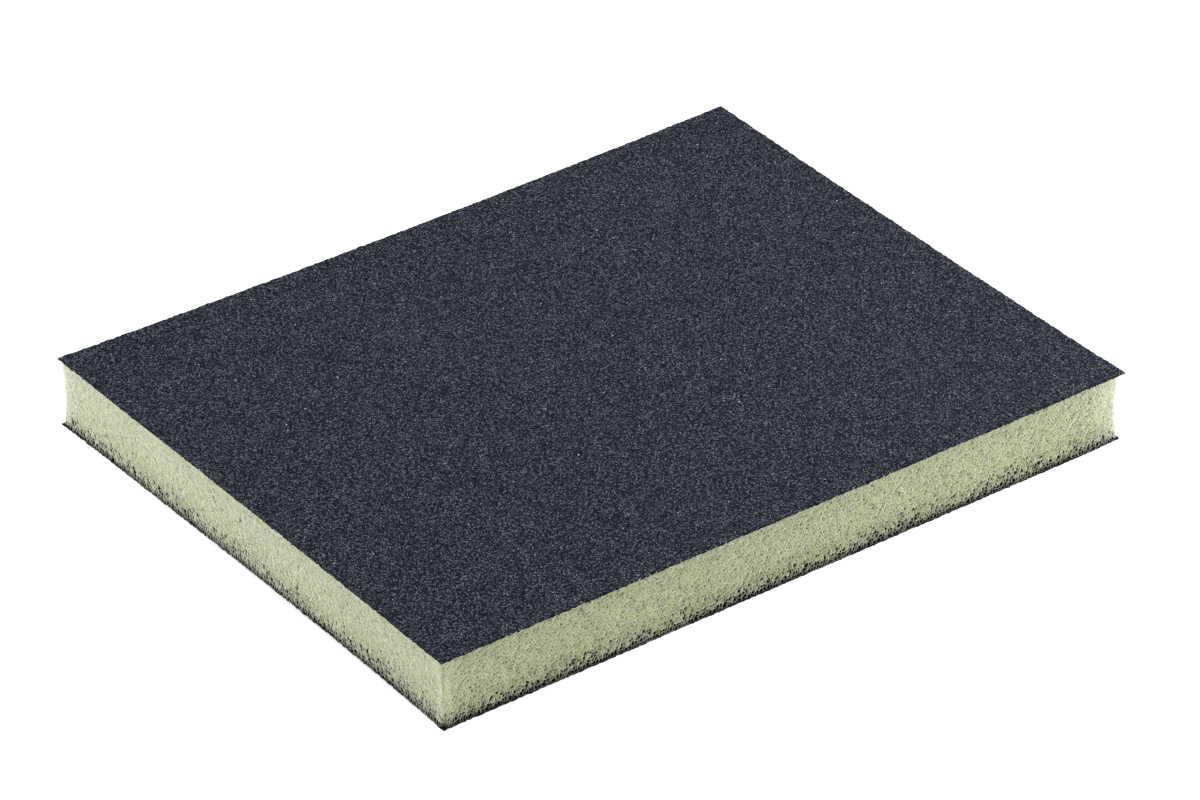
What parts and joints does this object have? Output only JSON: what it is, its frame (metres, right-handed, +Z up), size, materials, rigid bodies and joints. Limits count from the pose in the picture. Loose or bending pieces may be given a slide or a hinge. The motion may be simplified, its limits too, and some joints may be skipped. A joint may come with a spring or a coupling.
{
  "type": "sanding block",
  "caption": "Flat rectangular sanding pad: a springy pale foam slab with a dark abrasive grit coat bonded to each broad face.",
  "frame": {"origin": "middle of the lower abrasive face, at the base of the pad", "axes": "+X along the pad's length, +Y across its width, +Z up through its thickness"},
  "size_m": [0.123, 0.096, 0.0115],
  "materials": {
    "foam": "matte",
    "make_coat": "matte",
    "grit": "matte",
    "size_coat": "satin"
  },
  "bodies": {
    "root": {"foam_core": "foam", "upper_make_coat": "make_coat", "upper_grit_layer": "grit", "upper_size_coat": "size_coat", "lower_make_coat": "make_coat", "lower_grit_layer": "grit", "lower_size_coat": "size_coat"}
  },
  "joints": []
}
